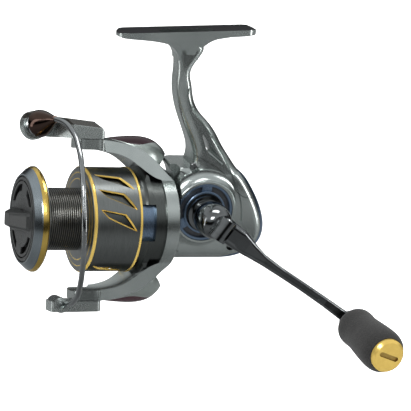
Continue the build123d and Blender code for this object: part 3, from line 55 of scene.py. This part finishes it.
# ---------------------------------------------------------------- shader helper
class Shader:
    """A Principled material with a few shorthands for its node graph."""

    def __init__(self, name, color, metallic=0.0, roughness=0.5, **sockets):
        self.material = bpy.data.materials.new(name)
        self.material.use_nodes = True
        self.tree = self.material.node_tree
        self.main = self.tree.nodes["Principled BSDF"]
        self.set("Base Color", color)
        self.set("Metallic", metallic)
        self.set("Roughness", roughness)
        for socket, value in sockets.items():
            self.set(socket.replace("_", " "), value)
        self.place = None

    def set(self, socket, value):
        if isinstance(value, tuple):
            value = (*value, 1.0)
        self.main.inputs[socket].default_value = value

    def feed(self, socket, value):
        """A socket takes another node's output or a plain value."""
        if isinstance(value, bpy.types.NodeSocket):
            self.tree.links.new(value, socket)
        else:
            socket.default_value = value

    def link(self, value, socket):
        self.tree.links.new(value, self.main.inputs[socket])

    def node(self, kind, **inputs):
        made = self.tree.nodes.new(kind)
        for key, value in inputs.items():
            self.feed(made.inputs[key], value)
        return made

    def math(self, kind, a, b=0.0):
        made = self.tree.nodes.new("ShaderNodeMath")
        made.operation = kind
        for socket, value in zip(made.inputs, (a, b)):
            self.feed(socket, value)
        return made.outputs[0]

    def add(self, a, b):
        return self.math("ADD", a, b)

    def minus(self, a, b):
        return self.math("SUBTRACT", a, b)

    def times(self, a, b):
        return self.math("MULTIPLY", a, b)

    def gearbox(self):
        """Position in the gearbox frame, in millimetres."""
        if self.place is None:
            coordinates = self.tree.nodes.new("ShaderNodeTexCoord")
            mapping = self.tree.nodes.new("ShaderNodeMapping")
            mapping.inputs["Location"].default_value = SEAT_CENTRE
            mapping.inputs["Rotation"].default_value = (0.0, -SEAT_TILT, 0.0)
            mapping.inputs["Scale"].default_value = (MILLIMETRES, MILLIMETRES, MILLIMETRES)
            self.tree.links.new(coordinates.outputs["Object"], mapping.inputs["Vector"])
            self.place = mapping.outputs["Vector"]
        return self.place

    def axes(self):
        """Distance forwards along the main shaft, then Y and Z."""
        parts = self.node("ShaderNodeSeparateXYZ", Vector=self.gearbox())
        return self.times(parts.outputs[0], -1.0), parts.outputs[1], parts.outputs[2]

    def radius(self):
        """Distance from the main shaft's axis."""
        _, y, z = self.axes()
        return self.math("SQRT", self.add(self.times(y, y), self.times(z, z)))

    def remap(self, value, low, high, start=0.0, end=1.0):
        made = self.node("ShaderNodeMapRange", Value=value)
        for key, number in (("From Min", start), ("From Max", end), ("To Min", low), ("To Max", high)):
            made.inputs[key].default_value = number
        return made.outputs[0]

    def band(self, value, low, high, soft=0.05):
        """1 between low and high, else 0, with soft edges."""
        rise = self.remap(value, 0.0, 1.0, low - soft, low + soft)
        fall = self.remap(value, 1.0, 0.0, high - soft, high + soft)
        return self.times(rise, fall)

    def waves(self, value, pitch):
        """A sine of the given pitch."""
        return self.math("SINE", self.times(value, 2 * math.pi / pitch))

    def noise(self, scale, detail=3.0, roughness=0.5, stretch=None):
        place = self.gearbox()
        if stretch:
            mapping = self.node("ShaderNodeMapping", Vector=place)
            mapping.inputs["Scale"].default_value = stretch
            place = mapping.outputs["Vector"]
        made = self.node("ShaderNodeTexNoise", Vector=place, Scale=scale, Detail=detail, Roughness=roughness)
        return made.outputs["Fac"]

    def ramp(self, value, stops):
        made = self.node("ShaderNodeValToRGB", Fac=value)
        for element, (position, color) in zip(made.color_ramp.elements, stops):
            element.position = position
            element.color = (*color, 1.0)
        return made.outputs["Color"]

    def mix(self, mask, first, second):
        """One colour where the mask is 0, another where it is 1."""
        made = self.tree.nodes.new("ShaderNodeMix")
        made.data_type = "RGBA"
        self.feed(made.inputs["Factor"], mask)
        for key, value in ((6, first), (7, second)):
            if isinstance(value, tuple):
                value = (*value, 1.0)
            self.feed(made.inputs[key], value)
        return made.outputs[2]

    def blend(self, mask, first, second):
        """One number where the mask is 0, another where it is 1."""
        made = self.tree.nodes.new("ShaderNodeMix")
        self.feed(made.inputs["Factor"], mask)
        self.feed(made.inputs[2], first)
        self.feed(made.inputs[3], second)
        return made.outputs[0]

    def bump(self, height, strength, distance, after=None):
        made = self.node("ShaderNodeBump", Height=height, Strength=strength, Distance=distance)
        if after is not None:
            self.tree.links.new(after, made.inputs["Normal"])
        return made.outputs["Normal"]


def darkened(color, share):
    return tuple(channel * share for channel in color)


# ---------------------------------------------------------------- finishes
SILVER = (0.56, 0.60, 0.585)
SILVER_SHADE = (0.37, 0.41, 0.40)
SILVER_LEVER_SHADE = (0.38, 0.42, 0.41)
COVER_SILVER = (0.42, 0.46, 0.44)
COVER_SHADE = (0.33, 0.37, 0.35)
GOLD = (0.86, 0.60, 0.15)
# Painted shade: near-black for the foot's upward-facing seat.
SEAT_SHADE = (0.012, 0.012, 0.013)


def cast_paint(name, color, dark, roughness=0.24, metallic=0.97, seat_shade=False):
    """Fine metallic paint on a casting, with painted shade in near-black on the foot's seat if asked."""
    s = Shader(name, color, metallic, roughness, Coat_Weight=0.2, Coat_Roughness=0.12)
    flake = s.noise(9.0, 4.0, 0.7)
    cloud = s.noise(0.06, 2.0)
    tone = s.add(s.times(flake, 0.5), s.times(cloud, 0.5))
    painted = s.ramp(tone, ((0.3, dark), (0.7, color)))
    rough = s.remap(flake, roughness - 0.05, roughness + 0.07)
    # Painted shade: the seat's upward faces turn near-black, with little reflection.
    if seat_shade:
        seat = seat_shade_mask(s)
        painted = s.mix(seat, painted, SEAT_SHADE)
        rough = s.blend(seat, rough, 0.5)
        s.link(s.blend(seat, metallic, 0.0), "Metallic")
        s.link(s.blend(seat, 0.2, 0.0), "Coat Weight")
        s.link(s.blend(seat, 0.5, 0.05), "Specular IOR Level")
    s.link(painted, "Base Color")
    s.link(rough, "Roughness")
    s.link(s.bump(flake, 0.05, 0.00005), "Normal")
    return s.material


def seat_shade_mask(s):
    """1 on what faces up at the row's own level, which is the foot's seat: the mask for its painted shade.
    """
    seat_low, seat_high, edge = -0.0045, 0.003, 0.0002
    coordinates = s.tree.nodes.new("ShaderNodeTexCoord")
    parts = s.node("ShaderNodeSeparateXYZ", Vector=coordinates.outputs["Object"])
    geometry = s.tree.nodes.new("ShaderNodeNewGeometry")
    facing = s.node("ShaderNodeSeparateXYZ", Vector=geometry.outputs["Normal"])
    level = s.band(parts.outputs[2], seat_low, seat_high, edge)
    return s.times(level, s.band(facing.outputs[2], 0.55, 2.0, 0.15))


def polished(name, color, roughness, smear=0.06):
    """Plated or polished metal with faint smears and fine lines."""
    s = Shader(name, color, 1.0, roughness)
    smudge = s.noise(0.25, 4.0, 0.6)
    fine = s.noise(3.0, 2.0, 0.5, (1.0, 6.0, 6.0))
    s.link(s.ramp(smudge, ((0.3, darkened(color, 0.86)), (0.7, color))), "Base Color")
    s.link(s.remap(smudge, roughness, roughness + smear, 0.35, 0.75), "Roughness")
    s.link(s.bump(fine, 0.012, 0.00002), "Normal")
    return s.material


def turned(name, color, roughness=0.28):
    """Metal turned on a lathe about the main shaft: fine rings."""
    s = Shader(name, color, 1.0, roughness)
    rings = s.noise(6.0, 3.0, 0.6, (4.0, 0.06, 0.06))
    s.link(s.ramp(rings, ((0.3, darkened(color, 0.75)), (0.7, color))), "Base Color")
    s.link(s.remap(rings, roughness - 0.06, roughness + 0.08), "Roughness")
    s.link(s.bump(rings, 0.08, 0.00004), "Normal")
    return s.material


def moulded(name, color, roughness=0.35, grain=0.15, coat=0.0):
    """Moulded plastic or rubber with a fine grain."""
    s = Shader(name, color, 0.0, roughness, Coat_Weight=coat, Coat_Roughness=0.06)
    speckle = s.noise(4.0, 4.0, 0.6)
    lighter = tuple(min(1.0, channel * 1.35 + 0.004) for channel in color)
    s.link(s.ramp(speckle, ((0.3, color), (0.75, lighter))), "Base Color")
    s.link(s.remap(speckle, roughness - 0.05, roughness + 0.08), "Roughness")
    s.link(s.bump(speckle, grain, 0.00006), "Normal")
    return s.material


def spool_material():
    """Brushed gunmetal with gold-edged windows, rings and pinstripes."""
    groove_pitch = 0.95
    arbor_radii = (13.0, 14.4)
    s = Shader("spool_gunmetal", (0.16, 0.16, 0.17), 1.0, 0.3)
    along, _, _ = s.axes()
    radius = s.radius()
    brushed = s.noise(5.0, 3.0, 0.6, (5.0, 0.05, 0.05))
    flange = s.band(along, 60.35, 61.6)
    grooves = s.waves(along, groove_pitch)
    arbor = s.times(s.band(along, 61.6, 79.4, 0.1), s.band(radius, *arbor_radii))
    # Painted shade in the arbor's grooves and painted highlight on its ridges: the colour follows the ridge
    # wave.
    groove_shade_stops = ((0.2, (0.03, 0.03, 0.028)), (0.8, (0.15, 0.15, 0.14)))
    groove_shading = s.ramp(s.remap(grooves, 0.0, 1.0, -1.0, 1.0), groove_shade_stops)
    base = s.ramp(brushed, ((0.25, (0.13, 0.14, 0.137)), (0.75, (0.27, 0.285, 0.28))))
    base = s.mix(flange, base, (0.30, 0.315, 0.315))
    base = s.mix(arbor, base, groove_shading)
    gilded = (
        s.times(s.band(along, 38.0, 39.55), s.band(radius, 22.9, 24.0)),
        s.times(s.band(along, 59.05, 60.4), s.band(radius, 22.7, 24.0)),
        s.times(s.band(along, 40.4, 58.4), s.band(radius, 21.9, 22.88, 0.03)),
        s.times(flange, s.band(radius, 20.3, 20.7)),
        s.times(flange, s.band(radius, 17.6, 18.0)),
    )
    gold = gilded[0]
    for stripe in gilded[1:]:
        gold = s.math("MAXIMUM", gold, stripe)
    s.link(s.mix(gold, base, GOLD), "Base Color")
    s.link(s.blend(gold, s.remap(brushed, 0.24, 0.4), 0.22), "Roughness")
    s.link(s.blend(gold, 1.0, 0.6), "Metallic")
    # Fine ridges round the arbor.
    ridged = s.times(s.band(along, 61.8, 79.2, 0.1), s.band(radius, *arbor_radii))
    fine = s.bump(brushed, 0.08, 0.00004)
    s.link(s.bump(s.times(ridged, grooves), 0.55, 0.00018, fine), "Normal")
    return s.material


def arm_cover_material():
    """Silver shoulders with a dark glossy lens along the crown of each arm's cover."""
    lens_back, lens_front, lens_half = 21.5, 51.5, 8.0
    s = Shader("arm_cover", SILVER, 0.9, 0.3, Coat_Weight=0.3, Coat_Roughness=0.08)
    along, y, z = s.axes()
    aside = s.minus(s.times(y, math.cos(ROTOR_LEAN)), s.times(z, math.sin(ROTOR_LEAN)))
    bow = s.math("SINE", s.remap(along, 0.0, math.pi, lens_back, lens_front))
    inside = s.minus(s.times(bow, lens_half), s.math("ABSOLUTE", aside))
    lens = s.remap(inside, 0.0, 1.0, -0.08, 0.08)
    flake = s.noise(9.0, 4.0, 0.7)
    painted = s.ramp(flake, ((0.3, COVER_SHADE), (0.7, COVER_SILVER)))
    s.link(s.mix(lens, painted, (0.030, 0.017, 0.020)), "Base Color")
    s.link(s.blend(lens, s.remap(flake, 0.25, 0.37), 0.08), "Roughness")
    s.link(s.blend(lens, 0.9, 0.0), "Metallic")
    s.link(s.blend(lens, 0.3, 0.0), "Coat Weight")
    s.link(s.blend(lens, 0.5, 0.12), "Specular IOR Level")
    s.link(s.bump(flake, 0.04, 0.00005), "Normal")
    return s.material


def lever_material():
    """Silver sides with a dark polished crown, which rises forwards."""
    crown_start, crown_height, crown_rise = 38.0, 38.75, 0.1
    s = Shader("lever_silver", SILVER, 0.97, 0.22, Coat_Weight=0.2, Coat_Roughness=0.1)
    along, y, z = s.axes()
    out = s.add(s.times(y, math.sin(ROTOR_LEAN)), s.times(z, math.cos(ROTOR_LEAN)))
    rise = s.times(s.minus(along, crown_start), crown_rise)
    crown = s.band(s.minus(out, rise), crown_height, 60.0, 0.04)
    flake = s.noise(8.0, 4.0, 0.7)
    painted = s.ramp(flake, ((0.3, SILVER_LEVER_SHADE), (0.7, SILVER)))
    s.link(s.mix(crown, painted, (0.035, 0.034, 0.030)), "Base Color")
    s.link(s.remap(flake, 0.22, 0.32), "Roughness")
    s.link(s.blend(crown, 0.9, 0.3), "Metallic")
    s.link(s.bump(flake, 0.04, 0.00005), "Normal")
    return s.material


def cap_material():
    """Gold cap, spun about the knob's axis, with painted shade in its slot."""
    knob_back, knob_low = 53.2, -29.05
    slot_floor, slot_mouth, slot_reach = 89.4, 90.45, 33.0
    s = Shader("cap_gold", GOLD, 0.55, 0.14)
    along, y, z = s.axes()
    backwards = s.add(along, knob_back)
    upwards = s.minus(z, knob_low)
    squared = s.add(s.times(backwards, backwards), s.times(upwards, upwards))
    depth = s.band(s.times(y, -1.0), slot_floor, slot_mouth)
    # Painted shade: the slot's recess is painted dark brown.
    slot = s.times(depth, s.band(squared, -1.0, slot_reach, 0.5))
    spun = s.waves(s.math("SQRT", squared), 0.5)
    smudge = s.noise(0.3, 4.0, 0.6)
    painted = s.ramp(smudge, ((0.3, darkened(GOLD, 0.85)), (0.7, GOLD)))
    s.link(s.mix(slot, painted, (0.16, 0.075, 0.02)), "Base Color")
    s.link(s.remap(smudge, 0.12, 0.22), "Roughness")
    s.link(s.bump(spun, 0.04, 0.00003), "Normal")
    return s.material


def foam_material():
    """Closed-cell foam: matt, with tiny pores."""
    s = Shader("foam_black", (0.010, 0.010, 0.010), 0.0, 0.85, Sheen_Weight=0.08, Sheen_Roughness=0.5)
    cells = s.node("ShaderNodeTexVoronoi", Vector=s.gearbox(), Scale=1.7)
    pores = s.noise(2.2, 5.0, 0.7)
    mixed = s.add(s.times(cells.outputs["Distance"], 0.5), s.times(pores, 0.6))
    s.link(s.ramp(mixed, ((0.3, (0.006, 0.006, 0.006)), (0.8, (0.026, 0.025, 0.024)))), "Base Color")
    s.link(s.remap(pores, 0.78, 0.95), "Roughness")
    s.link(s.bump(mixed, 0.5, 0.00025), "Normal")
    return s.material


def knob_dial_material():
    """Dark knob with a hatched dial and painted shade in its sunk band."""
    s = Shader("dial_black", (0.03, 0.03, 0.03), 0.0, 0.3, Coat_Weight=0.15, Coat_Roughness=0.1)
    s.set("Specular IOR Level", 0.3)
    along, y, z = s.axes()
    radius = s.radius()
    face = s.times(s.band(along, 85.9, 86.6), s.band(radius, 5.0, 11.6, 0.1))
    circles = s.waves(radius, 0.8)
    spokes = s.math("SINE", s.times(s.math("ARCTAN2", y, z), 96.0))
    hatch = s.times(face, s.times(circles, spokes))
    grain = s.noise(5.0, 3.0)
    color = s.ramp(grain, ((0.3, (0.014, 0.015, 0.015)), (0.7, (0.034, 0.036, 0.036))))
    # Painted shade: the sunk band is darkened to near-black.
    sunk = s.times(s.band(along, 84.4, 85.6), s.band(radius, 11.9, 17.4))
    color = s.mix(sunk, color, (0.004, 0.004, 0.004))
    s.link(s.mix(s.remap(hatch, 0.0, 0.8, 0.2, 0.8), color, (0.12, 0.125, 0.125)), "Base Color")
    s.link(s.remap(grain, 0.22, 0.4), "Roughness")
    s.link(s.bump(hatch, 0.4, 0.0002, s.bump(grain, 0.06, 0.00005)), "Normal")
    return s.material


finishes = (
    # The housing's paint carries painted shade on the foot's seat.
    (cast_paint("silver_paint_seat_shade", SILVER, SILVER_SHADE, seat_shade=True), ["housing"]),
    (cast_paint("silver_paint", SILVER, SILVER_SHADE), ["side_cover", "rotor_frame"]),
    (
        cast_paint("blue_grey_paint", (0.22, 0.30, 0.42), (0.16, 0.23, 0.33), 0.26),
        ["rear_cover", "crank_bezel", "balance_weight"],
    ),
    (polished("black_chrome", (0.20, 0.21, 0.215), 0.05), ["handle_arm", "handle_hub", "far_cap"]),
    (polished("bright_chrome", (0.55, 0.57, 0.58), 0.08), ["hinge_pin", "line_roller", "line_clip"]),
    (polished("wire_grey", (0.34, 0.355, 0.36), 0.14), ["bail_wire"]),
    (polished("screw_grey", (0.25, 0.26, 0.26), 0.2), ["cover_screws", "pivot_screws"]),
    (lever_material(), ["roller_lever", "wire_bracket"]),
    (cap_material(), ["knob_cap"]),
    (
        turned("turned_steel", (0.58, 0.58, 0.58)),
        [
            "near_bearing", "far_bearing", "pinion_bearing", "roller_clutch", "guide_rod", "drive_shaft",
            "knob_spindle", "clutch_sleeve", "rotor_nut", "roller_pin", "main_shaft", "shaft_washer",
            "drag_retainer",
        ],
    ),
    (polished("gold_anodised", GOLD, 0.16), ["spool_lip"]),
    (polished("dark_bronze", (0.085, 0.055, 0.045), 0.06), ["bail_cone"]),
    (turned("gunmetal", (0.13, 0.14, 0.135)), ["rotor_cup"]),
    (turned("bevel_grey", (0.36, 0.41, 0.44), 0.2), ["spool_face"]),
    (arm_cover_material(), ["arm_covers"]),
    (moulded("dark_plate", (0.02, 0.022, 0.026), 0.3, 0.1, 0.4), ["bezel_plate"]),
    (moulded("seal_rubber", (0.015, 0.015, 0.015), 0.5), ["crank_seal"]),
    (polished("gear_brass", (0.72, 0.53, 0.24), 0.25), ["pinion_gear", "knob_nut"]),
    (polished("cast_zinc", (0.45, 0.45, 0.46), 0.35), ["drive_gear", "slider"]),
    (
        moulded("white_nylon", (0.74, 0.74, 0.71), 0.4),
        ["oscillation_pinion", "oscillation_gear", "knob_bushing"],
    ),
    (moulded("lining", (0.05, 0.05, 0.055), 0.6, 0.3), ["drag_washers"]),
    (spool_material(), ["spool_body"]),
    (foam_material(), ["knob_grip"]),
    (knob_dial_material(), ["drag_knob"]),
)
for material, names in finishes:
    for name in names:
        mesh = nodes[name].data
        mesh.materials.clear()
        mesh.materials.append(material)

# ---------------------------------------------------------------- camera
AZIMUTH, ELEVATION, ROLL = math.radians(-23.574), math.radians(17.944), math.radians(7.944)
CAMERA_SPOT = (-309.14, -706.35, 256.14)
camera_data = bpy.data.cameras.new("camera")
camera_data.sensor_width = 36.0
camera_data.lens = 157.73
camera_data.clip_start = 0.05
camera_data.clip_end = 20.0
camera = bpy.data.objects.new("camera", camera_data)
scene.collection.objects.link(camera)
scene.camera = camera
back = Vector(
    (math.sin(AZIMUTH) * math.cos(ELEVATION), -math.cos(AZIMUTH) * math.cos(ELEVATION), math.sin(ELEVATION))
)
level_right = Vector((math.cos(AZIMUTH), math.sin(AZIMUTH), 0.0))
level_up = back.cross(level_right)
right = math.cos(ROLL) * level_right + math.sin(ROLL) * level_up
up = back.cross(right)
turn = Matrix((row_direction(*right), row_direction(*up), row_direction(*back))).transposed()
camera.matrix_world = Matrix.Translation(row_point(*CAMERA_SPOT)) @ turn.to_4x4()

# ---------------------------------------------------------------- studio
low, high = cad_box
centre = (low + high) / 2
FLOOR_LEVEL = low.z - 0.16
FLOOR_HALF_WIDTH = 2.4
# Distance away from the camera and height of the paper sweep.
SWEEP = ((-2.2, 0.0), (0.9, 0.0), (1.25, 0.06), (1.5, 0.25), (1.6, 0.6), (1.62, 2.4))


def paper_material():
    """White paper that glows a little, so that it stays pale behind the reel."""
    s = Shader("studio_paper", (0.92, 0.92, 0.92), 0.0, 0.9)
    s.set("Emission Color", (1.0, 1.0, 1.0))
    s.set("Emission Strength", 0.8)
    s.link(s.ramp(s.noise(0.02, 2.0), ((0.3, (0.90, 0.90, 0.90)), (0.7, (0.94, 0.94, 0.94)))), "Base Color")
    return s.material


def paper_sweep():
    """Floor that curves up behind the reel and is left out of reflections."""
    outwards = Vector((back.x, back.y, 0.0)).normalized()
    sideways = Vector((outwards.y, -outwards.x, 0.0))
    points = []
    for distance, height in SWEEP:
        for side in (-FLOOR_HALF_WIDTH, FLOOR_HALF_WIDTH):
            points.append(-outwards * distance + sideways * side + Vector((0, 0, FLOOR_LEVEL + height)))
    faces = [(2 * row, 2 * row + 1, 2 * row + 3, 2 * row + 2) for row in range(len(SWEEP) - 1)]
    mesh = bpy.data.meshes.new("studio_floor")
    mesh.from_pydata(points, [], faces)
    for polygon in mesh.polygons:
        polygon.use_smooth = True
    mesh.materials.append(paper_material())
    made = bpy.data.objects.new("studio_floor", mesh)
    scene.collection.objects.link(made)
    made.visible_glossy = False
    return made


def softbox(name, offset, size, energy):
    """A soft rectangular lamp that looks at the reel."""
    light = bpy.data.lights.new(name, "AREA")
    light.shape = "RECTANGLE"
    light.size, light.size_y = size
    light.energy = energy
    made = bpy.data.objects.new(name, light)
    scene.collection.objects.link(made)
    made.location = centre + Vector(offset)
    made.rotation_mode = "QUATERNION"
    made.rotation_quaternion = (-Vector(offset)).to_track_quat("-Z", "Y")


paper_sweep()
softbox("key", (-0.55, -0.75, 0.75), (0.5, 0.35), 6.5)
softbox("top", (0.1, 0.15, 0.95), (0.6, 0.4), 5.5)
softbox("fill", (0.85, -0.55, 0.15), (0.2, 0.8), 3.2)
softbox("front", (-0.95, 0.1, 0.1), (0.2, 0.8), 1.2)

# ---------------------------------------------------------------- surroundings
# Share of the way from straight down to straight up, and brightness: pale table, dark room at
# eye level, pale ceiling.
SKY = (
    (0.0, 0.25), (0.25, 0.50), (0.40, 0.42), (0.46, 0.02),
    (0.58, 0.02), (0.64, 0.55), (0.80, 1.0), (1.0, 0.7),
)
SKY_STRENGTH = 0.75
world = bpy.data.worlds.new("studio")
scene.world = world
world.use_nodes = True
tree = world.node_tree
background = tree.nodes["Background"]
background.inputs["Strength"].default_value = SKY_STRENGTH
direction = tree.nodes.new("ShaderNodeTexCoord")
split = tree.nodes.new("ShaderNodeSeparateXYZ")
level = tree.nodes.new("ShaderNodeMapRange")
level.inputs["From Min"].default_value = -1.0
sky = tree.nodes.new("ShaderNodeValToRGB")
tree.links.new(direction.outputs["Generated"], split.inputs["Vector"])
tree.links.new(split.outputs["Z"], level.inputs["Value"])
tree.links.new(level.outputs["Result"], sky.inputs["Fac"])
tree.links.new(sky.outputs["Color"], background.inputs["Color"])
while len(sky.color_ramp.elements) < len(SKY):
    sky.color_ramp.elements.new(0.5)
for element, (position, tone) in zip(sky.color_ramp.elements, SKY):
    element.position = position
    element.color = (tone * 0.97, tone, tone * 1.01, 1.0)
scene.view_settings.view_transform = "Standard"
